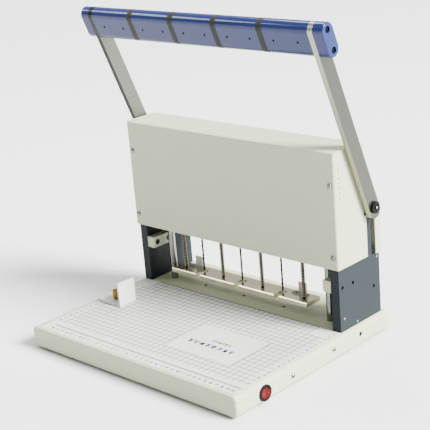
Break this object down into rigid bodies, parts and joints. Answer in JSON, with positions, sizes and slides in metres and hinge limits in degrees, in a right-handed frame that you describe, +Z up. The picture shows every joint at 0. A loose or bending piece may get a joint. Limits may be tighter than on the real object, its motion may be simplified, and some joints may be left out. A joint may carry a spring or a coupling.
{
  "type": "paper drilling machine",
  "caption": "Table-top electric paper drill: gridded base, two columns, a lever that racks a hooded drill head down guide rods, and a sprung clamp bar with twist drills.",
  "frame": {"origin": "middle of the base on the resting plane, under the rubber feet", "axes": "+X to the right seen from the front, +Y to the back, +Z up"},
  "size_m": [0.457, 0.332, 0.478],
  "materials": {
    "cream_paint": "satin powder coat",
    "grey_blue_paint": "satin paint",
    "zinc_steel": "zinc plated",
    "rubber": "matt",
    "mat_print": "printed film",
    "chrome": "polished",
    "black_plastic": "moulded",
    "red_plastic": "moulded, gloss",
    "black_steel": "blackened",
    "bearing_bronze": "turned",
    "satin_steel": "ground satin",
    "blue_grip": "gloss",
    "grey_band": "satin",
    "gear_steel": "cut steel",
    "head_aluminium": "milled",
    "motor_paint": "satin black",
    "polished_steel": "mirror polished",
    "white_plastic": "gloss",
    "brass": "knurled"
  },
  "bodies": {
    "frame": {"base_pan": "cream_paint", "bottom_plate": "zinc_steel", "bottom_screws": "zinc_steel", "rubber_feet": "rubber", "table_mat": "mat_print", "die_strip": "zinc_steel", "column_left": "grey_blue_paint", "column_right": "grey_blue_paint", "column_screws": "zinc_steel", "guide_rods": "chrome", "rod_anchors": "zinc_steel", "stop_blocks": "cream_paint", "stop_block_screws": "black_steel", "rear_cover": "cream_paint", "rear_cover_screws": "zinc_steel", "cross_tie": "zinc_steel", "shaft_bushes": "bearing_bronze", "switch_bezel": "black_plastic", "power_inlet": "black_plastic", "side_screws": "chrome", "return_springs": "black_steel"},
    "lever": {"lever_shaft": "satin_steel", "lever_arm_left": "satin_steel", "lever_arm_right": "satin_steel", "grip_bar": "blue_grip", "grip_bands": "grey_band", "grip_ends": "blue_grip", "grip_screws": "zinc_steel", "arm_caps": "black_plastic", "drive_wheels": "gear_steel"},
    "head": {"hood": "cream_paint", "hood_screws": "chrome", "head_back_plate": "head_aluminium", "lower_plate": "head_aluminium", "upper_plate": "head_aluminium", "plate_pillars": "zinc_steel", "guide_bushes": "bearing_bronze", "head_racks": "gear_steel", "stop_bolts": "zinc_steel", "spindle_bearings": "gear_steel", "idler_axles": "gear_steel", "drill_motor": "motor_paint", "clamp_springs": "black_steel"},
    "clamp": {"clamp_bar": "polished_steel", "clamp_rods": "polished_steel", "clamp_lugs": "satin_steel", "lug_screws": "zinc_steel"},
    "drill_unit_left": {"spindle_left": "gear_steel", "drill_left": "black_steel"},
    "drill_unit_middle": {"spindle_middle": "gear_steel", "drill_middle": "black_steel"},
    "drill_unit_right": {"spindle_right": "gear_steel", "drill_right": "black_steel"},
    "idler_gear_left": {"idler_left": "gear_steel"},
    "idler_gear_right": {"idler_right": "gear_steel"},
    "motor_shaft": {"motor_pinion": "gear_steel"},
    "rocker": {"switch_rocker": "red_plastic"},
    "gauge": {"paper_gauge": "white_plastic", "gauge_nut": "zinc_steel"},
    "knob": {"gauge_knob": "brass"}
  },
  "joints": [
    {"name": "lever_pull", "type": "hinge", "parent": "frame", "child": "lever", "pos_m": [0, 0.1315, 0.2025], "axis": [1, 0, 0], "range_deg": [0, 70], "stiffness_Nm_per_rad": 2.5, "springref_deg": -80.21},
    {"name": "head_slide", "type": "slide", "parent": "frame", "child": "head", "axis": [0, 0, -1], "range_m": [0, 0.0275], "deforming": ["return_springs"]},
    {"name": "clamp_lift", "type": "slide", "parent": "head", "child": "clamp", "axis": [0, 0, 1], "range_m": [0, 0.0112], "stiffness_N_per_m": 300, "springref_m": -0.012, "deforming": ["clamp_springs"]},
    {"name": "drill_turn_middle", "type": "hinge", "parent": "head", "child": "drill_unit_middle", "pos_m": [-0.0115, 0.093, 0.1885], "axis": [0, 0, 1], "continuous": true},
    {"name": "drill_turn_left", "type": "hinge", "parent": "head", "child": "drill_unit_left", "pos_m": [-0.0915, 0.093, 0.1885], "axis": [0, 0, 1], "continuous": true},
    {"name": "drill_turn_right", "type": "hinge", "parent": "head", "child": "drill_unit_right", "pos_m": [0.0685, 0.093, 0.1885], "axis": [0, 0, 1], "continuous": true},
    {"name": "idler_turn_left", "type": "hinge", "parent": "head", "child": "idler_gear_left", "pos_m": [-0.0515, 0.093, 0.1885], "axis": [0, 0, 1], "continuous": true},
    {"name": "idler_turn_right", "type": "hinge", "parent": "head", "child": "idler_gear_right", "pos_m": [0.0285, 0.093, 0.1885], "axis": [0, 0, 1], "continuous": true},
    {"name": "motor_turn", "type": "hinge", "parent": "head", "child": "motor_shaft", "pos_m": [0.0965, 0.093, 0.1885], "axis": [0, 0, 1], "continuous": true},
    {"name": "switch_rock", "type": "hinge", "parent": "frame", "child": "rocker", "pos_m": [0.2025, -0.1106, 0.0182], "axis": [0, 0, 1], "range_deg": [0, 16]},
    {"name": "gauge_slide", "type": "slide", "parent": "frame", "child": "gauge", "axis": [1, 0, 0], "range_m": [-0.003, 0.012]},
    {"name": "knob_turn", "type": "hinge", "parent": "gauge", "child": "knob", "pos_m": [-0.1665, -0.029, 0.045], "axis": [0, 0, 1], "range_deg": [0, 270]}
  ],
  "couplings": [
    {"joint": "head_slide", "follows": "lever_pull", "m_per_rad": 0.0225},
    {"joint": "clamp_lift", "follows": "lever_pull", "m_per_rad": 0.009077},
    {"joint": "drill_turn_left", "follows": "drill_turn_middle", "ratio": 1},
    {"joint": "drill_turn_right", "follows": "drill_turn_middle", "ratio": 1},
    {"joint": "idler_turn_left", "follows": "drill_turn_middle", "ratio": -1},
    {"joint": "idler_turn_right", "follows": "drill_turn_middle", "ratio": -1},
    {"joint": "motor_turn", "follows": "drill_turn_middle", "ratio": -2.5}
  ]
}
